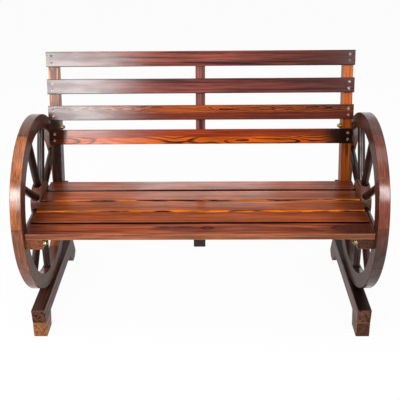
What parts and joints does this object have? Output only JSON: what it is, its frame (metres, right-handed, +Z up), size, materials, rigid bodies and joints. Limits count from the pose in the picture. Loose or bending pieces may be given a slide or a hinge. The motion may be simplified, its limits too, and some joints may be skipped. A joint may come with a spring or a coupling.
{
  "type": "wagon wheel bench",
  "caption": "Garden bench whose slatted seat and reclined slatted back hang between two wooden wagon wheels, each wheel held in a skid beam with foot blocks",
  "frame": {"origin": "on the ground, under the middle of the bench's overall width and depth", "axes": "+X to the right in a front view, +Y to the back of the bench, +Z up"},
  "size_m": [1.053, 0.548, 0.7907],
  "materials": {
    "seat_wood": "gloss",
    "back_wood": "gloss",
    "frame_wood": "gloss",
    "rim_wood": "gloss",
    "spoke_wood": "gloss",
    "hub_wood": "gloss",
    "skid_wood": "gloss",
    "screw_steel": "satin",
    "yellow_zinc": "satin"
  },
  "bodies": {
    "root": {"seat_slat_1": "seat_wood", "seat_slat_2": "seat_wood", "seat_slat_3": "seat_wood", "seat_slat_4": "seat_wood", "seat_slat_5": "seat_wood", "back_slat_1": "back_wood", "back_slat_2": "back_wood", "back_slat_3": "back_wood", "back_slat_4": "back_wood", "left_stile": "frame_wood", "left_seat_bearer": "frame_wood", "centre_stile": "frame_wood", "centre_seat_bearer": "frame_wood", "right_stile": "frame_wood", "right_seat_bearer": "frame_wood", "left_rim_section_1": "rim_wood", "left_rim_section_2": "rim_wood", "left_rim_section_3": "rim_wood", "left_rim_section_4": "rim_wood", "left_rim_section_5": "rim_wood", "left_rim_section_6": "rim_wood", "left_spoke_1": "spoke_wood", "left_spoke_2": "spoke_wood", "left_spoke_3": "spoke_wood", "left_spoke_4": "spoke_wood", "left_spoke_5": "spoke_wood", "left_spoke_6": "spoke_wood", "left_spoke_7": "spoke_wood", "left_spoke_8": "spoke_wood", "left_spoke_9": "spoke_wood", "left_hub": "hub_wood", "left_skid_beam": "skid_wood", "left_front_foot": "skid_wood", "left_rear_foot": "skid_wood", "right_rim_section_1": "rim_wood", "right_rim_section_2": "rim_wood", "right_rim_section_3": "rim_wood", "right_rim_section_4": "rim_wood", "right_rim_section_5": "rim_wood", "right_rim_section_6": "rim_wood", "right_spoke_1": "spoke_wood", "right_spoke_2": "spoke_wood", "right_spoke_3": "spoke_wood", "right_spoke_4": "spoke_wood", "right_spoke_5": "spoke_wood", "right_spoke_6": "spoke_wood", "right_spoke_7": "spoke_wood", "right_spoke_8": "spoke_wood", "right_spoke_9": "spoke_wood", "right_hub": "hub_wood", "right_skid_beam": "skid_wood", "right_front_foot": "skid_wood", "right_rear_foot": "skid_wood", "stile_spacers": "frame_wood", "carriage_bolts": "screw_steel", "nuts_and_washers": "screw_steel", "cap_nuts": "yellow_zinc", "back_slat_screws": "screw_steel", "seat_slat_screws": "screw_steel", "long_screws": "screw_steel"}
  },
  "joints": []
}
